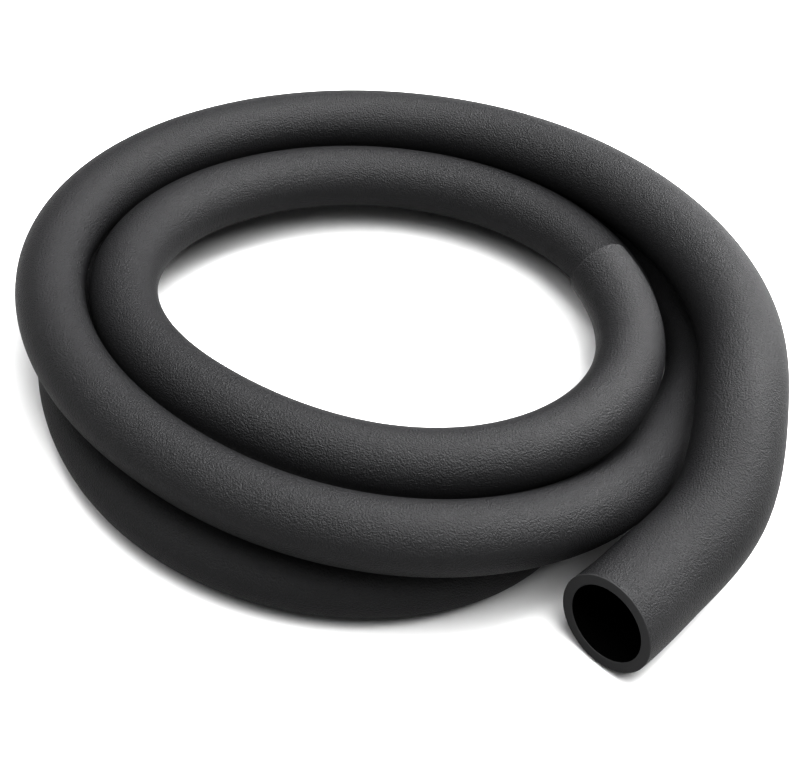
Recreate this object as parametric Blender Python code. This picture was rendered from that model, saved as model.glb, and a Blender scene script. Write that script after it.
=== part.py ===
"""Rubber sleeve tube, one soft hollow tube laid in a loose coil of a little over three turns.

The coil lies on the floor (z = 0) with its axis along +Z. The open end that faces the front is at the
front right (+X, -Y), and is wider than the rest. From there the tube climbs over the floor turn and goes
once round on top of it: the back, the left, the front. At the right it comes down between its neighbours
and goes once round on the floor. At the front right it turns in and goes once more round as the inner
ring, which climbs until its end lies on top of its own start.
"""

import math

import bmesh
import bpy
import numpy as np
from mathutils import Matrix, Vector

MM = 0.001

COIL_DIAMETER = 28.0 * MM       # outside, where the tube lies in the coil
END_DIAMETER = 41.0 * MM        # outside, at the open end, which the tube widens towards
BORE_SHARE = 22.0 / 28.0        # bore across the outside: a 22 mm bore in a 28 mm tube
WIDENS_FROM = 120.0             # degrees round the coil from which the tube widens towards its open end
WIDENING_POWER = 1.4            # above 1 the widening starts gently

SECTION_SIDES = 16
STATION_STEP = 10               # degrees round the coil between two sections
DIRECTION_STEP = 0.5            # degrees to either side, between which the tube's direction is taken
SHARP_EDGE = 60.0               # degrees between two faces, above which their edge is shaded sharp

# Where the middle of the tube lies: degrees anticlockwise from the right, distance from the coil's
# middle in mm, height above the floor in mm.
ROUTE = (
    (-62, 163, 21.7),           # open end on the floor, front right
    (-50, 152, 20.2),
    (-35, 147.5, 27.0),         # climbing over the turn below it
    (-20, 137.5, 40.0),
    (0, 131, 45.0),
    (45, 122, 46.5),
    (90, 133, 41.0),            # outermost at the back
    (135, 148, 43.0),
    (180, 161, 44.5),           # on top of the floor turn at the left
    (225, 142, 43.5),
    (270, 134, 46.0),           # front, second from the middle
    (315, 116.5, 29.5),
    (340, 110.5, 18.0),         # down between its neighbours at the right
    (360, 118.5, 14.6),
    (405, 131, 14.4),           # underneath at the back
    (450, 148, 14.2),
    (495, 158, 14.2),
    (540, 153, 14.2),           # the floor turn, left and front
    (585, 147, 14.2),
    (630, 128, 14.4),
    (655, 108, 14.4),
    (675, 87.5, 16.5),          # turning in under the inner ring
    (720, 87.5, 16.5),          # start of the inner ring, right
    (742, 93.5, 23.5),          # climbing to the back
    (765, 97, 26.5),
    (810, 107, 26.0),           # inner ring, back
    (855, 122, 29.5),
    (900, 131, 39.0),           # inner ring, left, on the shoulder of the floor turn
    (945, 112.5, 49.0),
    (990, 104, 52.5),           # inner ring, front, on the shoulder of the turn outside it
    (1035, 95.5, 51.5),
    (1080, 80.5, 51.0),         # on top of its own start
    (1098, 73, 54.0),           # second end
)


def clear_scene():
    for item in list(bpy.data.objects):
        bpy.data.objects.remove(item, do_unlink=True)


def rubber_material():
    material = bpy.data.materials.new("black_rubber")
    material.use_nodes = True
    shader = material.node_tree.nodes["Principled BSDF"]
    shader.inputs["Base Color"].default_value = (0.032, 0.032, 0.034, 1.0)
    shader.inputs["Roughness"].default_value = 0.62
    shader.inputs["Metallic"].default_value = 0.0
    return material


def smooth_through(places, values, wanted):
    """Values at the wanted places on the natural cubic curve through the given ones."""
    places = np.array(places, dtype=float)
    values = np.array(values, dtype=float)
    gap = np.diff(places)
    slope = np.diff(values) / gap
    count = len(places)
    system = np.identity(count)
    pull = np.zeros(count)
    for i in range(1, count - 1):
        system[i, i - 1] = gap[i - 1]
        system[i, i] = 2.0 * (gap[i - 1] + gap[i])
        system[i, i + 1] = gap[i]
        pull[i] = 6.0 * (slope[i] - slope[i - 1])
    bend = np.linalg.solve(system, pull)
    left = np.clip(np.searchsorted(places, wanted, side="right") - 1, 0, count - 2)
    before = wanted - places[left]
    after = places[left + 1] - wanted
    width = gap[left]
    return (
        (bend[left] * after ** 3 + bend[left + 1] * before ** 3) / (6.0 * width)
        + (values[left] / width - bend[left] * width / 6.0) * after
        + (values[left + 1] / width - bend[left + 1] * width / 6.0) * before
    )


def outer_radius(angle):
    """Half the outside diameter, which grows smoothly from the coil's size to the open end's."""
    share = (WIDENS_FROM - angle) / (WIDENS_FROM - ROUTE[0][0])
    share = min(max(share, 0.0), 1.0) ** WIDENING_POWER
    return 0.5 * (COIL_DIAMETER + (END_DIAMETER - COIL_DIAMETER) * share)


def route_points(angles):
    """Middle of the tube at each angle round the coil."""
    stops = [stop[0] for stop in ROUTE]
    reach = smooth_through(stops, [stop[1] * MM for stop in ROUTE], angles)
    height = smooth_through(stops, [stop[2] * MM for stop in ROUTE], angles)
    turn = np.radians(angles)
    return [Vector(point) for point in zip(reach * np.cos(turn), reach * np.sin(turn), height)]


def station_angles():
    """Both ends and every whole step between them, so that sections of neighbouring turns line up."""
    first = ROUTE[0][0]
    last = ROUTE[-1][0]
    inner = np.arange(math.ceil(first / STATION_STEP) * STATION_STEP, last, STATION_STEP)
    inner = inner[(inner > first + STATION_STEP / 3) & (inner < last - STATION_STEP / 3)]
    return np.concatenate(([first], inner, [last])).astype(float)


def section_frames(angles):
    """A matrix at each station, with its Z along the tube."""
    ahead = route_points(np.minimum(angles + DIRECTION_STEP, angles[-1]))
    behind = route_points(np.maximum(angles - DIRECTION_STEP, angles[0]))
    frames = []
    for middle, front, back in zip(route_points(angles), ahead, behind):
        along = (front - back).normalized()
        side = along.cross(Vector((0.0, 0.0, 1.0))).normalized()
        up = side.cross(along)
        turned = Matrix((side, up, -along)).transposed().to_4x4()
        frames.append(Matrix.Translation(middle) @ turned)
    return frames


def ring_of_points(mesh, frame, radius):
    made = bmesh.ops.create_circle(mesh, cap_ends=False, segments=SECTION_SIDES, radius=radius, matrix=frame)
    return made["verts"]


def join_rings(mesh, first, second):
    """Faces between two rings of points."""
    for i in range(len(first)):
        j = (i + 1) % len(first)
        mesh.faces.new((first[i], first[j], second[j], second[i]))


def sleeve_tube(material):
    angles = station_angles()
    mesh = bmesh.new()
    outside = []
    bore = []
    for angle, frame in zip(angles, section_frames(angles)):
        radius = outer_radius(angle)
        outside.append(ring_of_points(mesh, frame, radius))
        bore.append(ring_of_points(mesh, frame, radius * BORE_SHARE))
    for i in range(len(angles) - 1):
        join_rings(mesh, outside[i], outside[i + 1])
        join_rings(mesh, bore[i], bore[i + 1])
    join_rings(mesh, outside[0], bore[0])
    join_rings(mesh, outside[-1], bore[-1])
    bmesh.ops.recalc_face_normals(mesh, faces=mesh.faces)

    data = bpy.data.meshes.new("sleeve_tube")
    mesh.to_mesh(data)
    mesh.free()
    data.materials.append(material)
    data.shade_smooth()
    data.set_sharp_from_angle(angle=math.radians(SHARP_EDGE))
    tube = bpy.data.objects.new("sleeve_tube", data)
    bpy.context.scene.collection.objects.link(tube)
    return tube


def stand_on_origin(item):
    """Moves the mesh so that the middle of its footprint is at the origin and its lowest point at z = 0."""
    corners = [vertex.co for vertex in item.data.vertices]
    low = [min(point[axis] for point in corners) for axis in range(3)]
    high = [max(point[axis] for point in corners) for axis in range(3)]
    shift = Vector((-(low[0] + high[0]) / 2, -(low[1] + high[1]) / 2, -low[2]))
    item.data.transform(Matrix.Translation(shift))


clear_scene()
stand_on_origin(sleeve_tube(rubber_material()))
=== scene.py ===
"""Looks of the rubber sleeve tube: soft black rubber with a fine pebbled skin, in a loose coil.

Lengths are in metres, apart from the route, which is in degrees and millimetres. The tube follows
the same route as the solid that it stands for, and lies where that solid lies.
"""

import math

import bpy
import numpy as np
from mathutils import Matrix, Vector


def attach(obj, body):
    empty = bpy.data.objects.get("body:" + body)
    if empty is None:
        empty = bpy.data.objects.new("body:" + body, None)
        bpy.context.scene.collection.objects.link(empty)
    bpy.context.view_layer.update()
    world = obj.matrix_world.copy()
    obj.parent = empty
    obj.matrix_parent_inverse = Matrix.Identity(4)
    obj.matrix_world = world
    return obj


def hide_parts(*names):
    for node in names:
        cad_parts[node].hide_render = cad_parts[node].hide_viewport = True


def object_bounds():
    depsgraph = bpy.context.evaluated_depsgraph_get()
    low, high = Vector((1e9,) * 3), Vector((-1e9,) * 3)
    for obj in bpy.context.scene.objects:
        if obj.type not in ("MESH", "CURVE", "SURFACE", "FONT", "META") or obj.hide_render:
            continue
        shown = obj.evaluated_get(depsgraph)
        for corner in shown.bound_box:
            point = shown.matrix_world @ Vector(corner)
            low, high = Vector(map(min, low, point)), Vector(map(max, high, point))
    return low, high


MM = 0.001

# The camera, from the photograph's perspective: placed from the coil's middle, turned in degrees
CAMERA_PLACE = (-0.0039, -0.5157, 0.4865)
CAMERA_DOWN = 43.53             # below level
CAMERA_YAW = -0.66              # to the right
CAMERA_ROLL = 6.03              # its right side up
CAMERA_LENS = 72.0              # millimetres
CAMERA_SENSOR = 36.0            # millimetres across

# The tube, as its solid has it
COIL_DIAMETER = 28.0 * MM       # outside, where the tube lies in the coil
END_DIAMETER = 41.0 * MM        # outside, at the open end
BORE_SHARE = 22.0 / 28.0        # bore across the outside
WIDENS_FROM = 120.0             # degrees round the coil from which it widens to the open end
WIDENING_POWER = 1.4            # above 1 the widening starts gently

# The tube's finer forms
SIDES = 72
SKIN_STEP = 1.5                 # degrees round the coil between two rings of the skin
BORE_STEP = 4.5                 # degrees round the coil between two rings of the bore
OPEN_END_STEP = 0.4             # degrees from the open end to the nearest ring of the skin
SECOND_END_STEP = 0.9           # the same at the second end; both keep the cut edges crisp
LIP = 0.35 * MM                 # radius of the cut edges
LIP_STEPS = 4
FACE_RINGS = 4                  # across the flat of a cut end
TOUCH = 0.25 * MM               # the soft turns touch, so the skin stands this far outside the solid's
TOUCH_FROM = 12.0               # degrees from each cut end, over which the skin rises to that
DIRECTION_STEP = 0.25           # degrees to either side, between which the direction is taken
PATH_STEP = 4.0                 # degrees round the coil between two points of the cord's path

# The kinds of face, in the order of the rubbers
CUT, SKIN, BORE = range(3)

# The rubbers: name, colour, roughness, gloss, and the size and depth of the grain
RUBBERS = (
    # the cut faces' colour is paler than the skin's: painted light, making up for the little light that
    # reaches them
    ("cut_rubber_painted_light", (0.042, 0.042, 0.043), 0.75, 0.30, 0.60 * MM, 0.06 * MM),
    ("black_rubber_skin", (0.017, 0.017, 0.018), 0.38, 0.32, 0.72 * MM, 0.75 * MM),
    # the bore's near-black colour is painted shade, darker than the rubber itself, for the dark inside
    # the tube
    ("bore_rubber_painted_shade", (0.002, 0.002, 0.002), 0.80, 0.00, 1.20 * MM, 0.08 * MM),
)
GRAIN_DETAIL = 3.0              # how many finer sizes of grain lie in the first
GRAIN_ROUGHNESS = 0.6           # how strong they are

# The lights: name, azimuth anticlockwise from the right, elevation, power in watts
LIGHTS = (
    ("key_light", 45, 60, 30.0),
    ("back_light", 105, 75, 11.0),
    ("left_fill", 225, 65, 11.5),
    ("front_fill", 315, 70, 23.0),
    ("low_light", 45, 28, 22.0),
)
LIGHT_SIZE = 0.9
LIGHT_DISTANCE = 1.3

# The rest of the studio: the camera sees a paler floor and surround than the rubber does
FLOOR_REACH = 1.0               # from its middle to each side
FLOOR_SEEN = 0.83               # share of the light that the floor throws to the camera
FLOOR_THROWN = 0.35             # share of the light that the floor throws to the rubber
FLOOR_ROUGHNESS = 0.9
SURROUND_SEEN = 1.0             # brightness beyond the floor, to the camera
SKY = 0.2                       # brightness all round, to the rubber
CONTRAST = 0.74                 # display gamma; below 1 the darks are deeper

# The tube's middle: degrees anticlockwise from the right, mm from the coil's middle, mm above the floor
ROUTE = (
    (-62, 163, 21.7),           # open end on the floor, front right
    (-50, 152, 20.2),
    (-35, 147.5, 27.0),         # climbing over the turn below it
    (-20, 137.5, 40.0),
    (0, 131, 45.0),
    (45, 122, 46.5),
    (90, 133, 41.0),            # outermost at the back
    (135, 148, 43.0),
    (180, 161, 44.5),           # on top of the floor turn at the left
    (225, 142, 43.5),
    (270, 134, 46.0),           # front, second from the middle
    (315, 116.5, 29.5),
    (340, 110.5, 18.0),         # down between its neighbours at the right
    (360, 118.5, 14.6),
    (405, 131, 14.4),           # underneath at the back
    (450, 148, 14.2),
    (495, 158, 14.2),
    (540, 153, 14.2),           # the floor turn, left and front
    (585, 147, 14.2),
    (630, 128, 14.4),
    (655, 108, 14.4),
    (675, 87.5, 16.5),          # turning in under the inner ring
    (720, 87.5, 16.5),          # start of the inner ring, right
    (742, 93.5, 23.5),          # climbing to the back
    (765, 97, 26.5),
    (810, 107, 26.0),           # inner ring, back
    (855, 122, 29.5),
    (900, 131, 39.0),           # inner ring, left, on the shoulder of the floor turn
    (945, 112.5, 49.0),
    (990, 104, 52.5),           # inner ring, front, on the shoulder of the turn outside it
    (1035, 95.5, 51.5),
    (1080, 80.5, 51.0),         # on top of its own start
    (1098, 73, 54.0),           # second end
)
FIRST_ANGLE = ROUTE[0][0]
LAST_ANGLE = ROUTE[-1][0]


def smooth_through(places, values, wanted):
    """Values at the wanted places on the natural cubic curve through the given ones."""
    places = np.array(places, dtype=float)
    values = np.array(values, dtype=float)
    gap = np.diff(places)
    slope = np.diff(values) / gap
    count = len(places)
    system = np.identity(count)
    pull = np.zeros(count)
    for i in range(1, count - 1):
        system[i, i - 1] = gap[i - 1]
        system[i, i] = 2.0 * (gap[i - 1] + gap[i])
        system[i, i + 1] = gap[i]
        pull[i] = 6.0 * (slope[i] - slope[i - 1])
    bend = np.linalg.solve(system, pull)
    left = np.clip(np.searchsorted(places, wanted, side="right") - 1, 0, count - 2)
    before = wanted - places[left]
    after = places[left + 1] - wanted
    width = gap[left]
    return (
        (bend[left] * after ** 3 + bend[left + 1] * before ** 3) / (6.0 * width)
        + (values[left] / width - bend[left] * width / 6.0) * after
        + (values[left + 1] / width - bend[left + 1] * width / 6.0) * before
    )


def outer_radius(angles):
    """Half the outside diameter, which grows smoothly from the coil's size to the open end's."""
    share = np.clip((WIDENS_FROM - angles) / (WIDENS_FROM - FIRST_ANGLE), 0.0, 1.0) ** WIDENING_POWER
    return 0.5 * (COIL_DIAMETER + (END_DIAMETER - COIL_DIAMETER) * share)


def route_points(angles):
    """Middle of the tube at each angle round the coil, one row for each."""
    stops = [stop[0] for stop in ROUTE]
    reach = smooth_through(stops, [stop[1] * MM for stop in ROUTE], angles)
    height = smooth_through(stops, [stop[2] * MM for stop in ROUTE], angles)
    turn = np.radians(angles)
    return np.column_stack((reach * np.cos(turn), reach * np.sin(turn), height))


def unit(rows):
    return rows / np.linalg.norm(rows, axis=-1, keepdims=True)


def rings(angles, radii, forward):
    """Rings of points round the tube, one at each angle; forward shifts each along the tube."""
    ahead = route_points(np.minimum(angles + DIRECTION_STEP, LAST_ANGLE))
    behind = route_points(np.maximum(angles - DIRECTION_STEP, FIRST_ANGLE))
    along = unit(ahead - behind)
    side = unit(np.cross(along, (0.0, 0.0, 1.0)))
    up = np.cross(side, along)
    middle = route_points(angles) + along * forward[:, None]
    turn = (np.arange(SIDES) * math.tau / SIDES)[None, :, None]
    across = side[:, None, :] * np.cos(turn) + up[:, None, :] * np.sin(turn)
    return middle[:, None, :] + across * radii[:, None, None]


def angles_between(first, last, step):
    """Evenly spaced angles from one to the other, about a step apart, without those two."""
    return np.linspace(first, last, round(abs(last - first) / step) + 1)[1:-1]


def skin_rings():
    angles = angles_between(FIRST_ANGLE, LAST_ANGLE, SKIN_STEP)
    angles = np.concatenate(([FIRST_ANGLE + OPEN_END_STEP], angles, [LAST_ANGLE - SECOND_END_STEP]))
    from_end = np.minimum(angles - FIRST_ANGLE, LAST_ANGLE - angles)
    rise = TOUCH * np.clip(from_end / TOUCH_FROM, 0.0, 1.0)
    return rings(angles, outer_radius(angles) + rise, np.zeros(len(angles)))


def bore_rings():
    """Rings of the bore, from the second end back to the open one."""
    angles = angles_between(LAST_ANGLE, FIRST_ANGLE, BORE_STEP)
    return rings(angles, outer_radius(angles) * BORE_SHARE, np.zeros(len(angles)))


def cut_rings(angle, outward):
    """Rings over one cut end, from the skin's edge to the bore's, with both edges rounded. Outward
    is 1.0 where the route leaves the tube at that end, and -1.0 where it enters it."""
    radius = outer_radius(angle)
    bore = radius * BORE_SHARE
    bend = np.linspace(0.0, math.pi / 2, LIP_STEPS + 1)
    outer = radius - LIP + LIP * np.cos(bend)
    outer_out = LIP * np.sin(bend) - LIP
    face = np.linspace(radius - LIP, bore + LIP, FACE_RINGS + 2)[1:-1]
    inner = bore + LIP - LIP * np.sin(bend)
    inner_out = LIP * np.cos(bend) - LIP
    radii = np.concatenate((outer, face, inner))
    out = np.concatenate((outer_out, np.zeros(FACE_RINGS), inner_out))
    return rings(np.full(len(radii), float(angle)), radii, outward * out)


def tube_mesh():
    """Points, faces and kinds of face of the whole tube, which is one closed grid of rings: skin,
    second end, bore, open end. A face has the later kind of the two rings that it joins."""
    loops = (
        (SKIN, skin_rings()),
        (CUT, cut_rings(LAST_ANGLE, 1.0)),
        (BORE, bore_rings()),
        (CUT, cut_rings(FIRST_ANGLE, -1.0)[::-1]),
    )
    points = np.concatenate([loop for _, loop in loops])
    ring_kinds = [kind for kind, loop in loops for _ in loop]
    faces = []
    face_kinds = []
    for i in range(len(points)):
        j = (i + 1) % len(points)
        for k in range(SIDES):
            m = (k + 1) % SIDES
            faces.append((i * SIDES + k, i * SIDES + m, j * SIDES + m, j * SIDES + k))
            face_kinds.append(max(ring_kinds[i], ring_kinds[j]))
    return points.reshape(-1, 3), faces, face_kinds


def make_tube(materials, cad_box):
    """The tube, and the shift that takes it from its route to where its solid lies."""
    points, faces, face_kinds = tube_mesh()
    low = points.min(axis=0)
    high = points.max(axis=0)
    cad_low, cad_high = np.array(cad_box)
    shift = (cad_low + cad_high) / 2 - (low + high) / 2
    shift[2] = cad_low[2] - low[2]
    data = bpy.data.meshes.new("rubber_tube")
    data.from_pydata((points + shift).tolist(), [], faces)
    for material in materials:
        data.materials.append(material)
    data.polygons.foreach_set("material_index", face_kinds)
    data.shade_smooth()
    data.update()
    tube = bpy.data.objects.new("rubber_tube", data)
    bpy.context.scene.collection.objects.link(tube)
    return tube, shift


def wire(tree, links):
    for start, end in links:
        tree.links.new(start, end)


def seen_or_thrown(tree, seen, thrown, end):
    """Gives a value one size to the camera and another to the light that reaches the rubber."""
    path = tree.nodes.new("ShaderNodeLightPath")
    choice = tree.nodes.new("ShaderNodeMapRange")
    choice.inputs["To Min"].default_value = thrown
    choice.inputs["To Max"].default_value = seen
    wire(tree, (
        (path.outputs["Is Camera Ray"], choice.inputs["Value"]),
        (choice.outputs["Result"], end),
    ))


def rubber(name, colour, roughness, gloss, grain_size, grain_depth):
    """Black rubber with a pebbled surface."""
    material = bpy.data.materials.new(name)
    material.use_nodes = True
    nodes = material.node_tree.nodes
    shader = nodes["Principled BSDF"]
    shader.inputs["Base Color"].default_value = (*colour, 1.0)
    shader.inputs["Roughness"].default_value = roughness
    shader.inputs["Specular IOR Level"].default_value = gloss
    place = nodes.new("ShaderNodeTexCoord")
    grain = nodes.new("ShaderNodeTexNoise")
    grain.inputs["Scale"].default_value = 1.0 / grain_size
    grain.inputs["Detail"].default_value = GRAIN_DETAIL
    grain.inputs["Roughness"].default_value = GRAIN_ROUGHNESS
    bump = nodes.new("ShaderNodeBump")
    bump.inputs["Strength"].default_value = 1.0
    bump.inputs["Distance"].default_value = grain_depth
    wire(material.node_tree, (
        (place.outputs["Object"], grain.inputs["Vector"]),
        (grain.outputs["Fac"], bump.inputs["Height"]),
        (bump.outputs["Normal"], shader.inputs["Normal"]),
    ))
    return material


def make_floor():
    """A pale floor, paler to the camera than to the rubber, as a retouched one is."""
    data = bpy.data.meshes.new("studio_floor")
    corners = [(x * FLOOR_REACH, y * FLOOR_REACH, 0.0) for x, y in ((-1, -1), (1, -1), (1, 1), (-1, 1))]
    data.from_pydata(corners, [], [(0, 1, 2, 3)])
    material = bpy.data.materials.new("pale_floor")
    material.use_nodes = True
    shader = material.node_tree.nodes["Principled BSDF"]
    seen_or_thrown(material.node_tree, FLOOR_SEEN, FLOOR_THROWN, shader.inputs["Base Color"])
    shader.inputs["Roughness"].default_value = FLOOR_ROUGHNESS
    shader.inputs["Specular IOR Level"].default_value = 0.0
    data.materials.append(material)
    floor = bpy.data.objects.new("studio_floor", data)
    bpy.context.scene.collection.objects.link(floor)
    return floor


def make_camera(shift):
    down = math.radians(CAMERA_DOWN)
    yaw = math.radians(CAMERA_YAW)
    roll = math.radians(CAMERA_ROLL)
    level_ahead = Vector((math.sin(yaw), math.cos(yaw), 0.0))
    ahead = level_ahead * math.cos(down) - Vector((0.0, 0.0, math.sin(down)))
    level_right = Vector((math.cos(yaw), -math.sin(yaw), 0.0))
    unrolled_up = level_right.cross(ahead)
    right = level_right * math.cos(roll) + unrolled_up * math.sin(roll)
    up = unrolled_up * math.cos(roll) - level_right * math.sin(roll)
    data = bpy.data.cameras.new("camera")
    data.lens = CAMERA_LENS
    data.sensor_width = CAMERA_SENSOR
    camera = bpy.data.objects.new("camera", data)
    turned = Matrix((right, up, -ahead)).transposed().to_4x4()
    camera.matrix_world = Matrix.Translation(Vector(CAMERA_PLACE) + Vector(shift)) @ turned
    bpy.context.scene.collection.objects.link(camera)
    bpy.context.scene.camera = camera


def soft_light(name, azimuth, elevation, power):
    """A square soft box that looks at the middle of the coil."""
    turn = math.radians(azimuth)
    lift = math.radians(elevation)
    level = Vector((math.cos(turn), math.sin(turn), 0.0))
    towards = level * math.cos(lift) + Vector((0.0, 0.0, math.sin(lift)))
    data = bpy.data.lights.new(name, "AREA")
    data.shape = "SQUARE"
    data.size = LIGHT_SIZE
    data.energy = power
    light = bpy.data.objects.new(name, data)
    light.location = towards * LIGHT_DISTANCE
    light.rotation_mode = "QUATERNION"
    light.rotation_quaternion = (-towards).to_track_quat("-Z", "Y")
    bpy.context.scene.collection.objects.link(light)


def make_surround():
    """Light from all round, white to the camera beyond the floor."""
    world = bpy.data.worlds.new("studio")
    world.use_nodes = True
    sky = world.node_tree.nodes["Background"]
    sky.inputs["Color"].default_value = (1.0, 1.0, 1.0, 1.0)
    seen_or_thrown(world.node_tree, SURROUND_SEEN, SKY, sky.inputs["Strength"])
    bpy.context.scene.world = world


def set_display():
    display = bpy.context.scene.view_settings
    display.view_transform = "Standard"
    display.gamma = CONTRAST


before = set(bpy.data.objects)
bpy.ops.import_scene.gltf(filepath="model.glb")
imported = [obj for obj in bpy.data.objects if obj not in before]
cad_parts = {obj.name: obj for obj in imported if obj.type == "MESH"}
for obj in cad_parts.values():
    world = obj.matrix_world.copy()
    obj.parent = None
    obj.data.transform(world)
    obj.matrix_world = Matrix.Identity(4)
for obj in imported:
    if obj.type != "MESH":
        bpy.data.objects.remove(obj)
cad_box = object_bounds()

tube, shift = make_tube([rubber(*values) for values in RUBBERS], cad_box)
path = route_points(np.append(np.arange(FIRST_ANGLE, LAST_ANGLE, PATH_STEP), LAST_ANGLE)) + shift
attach(tube, "root")
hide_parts("sleeve_tube")

make_camera(shift)
make_floor()
for light in LIGHTS:
    soft_light(*light)
make_surround()
set_display()
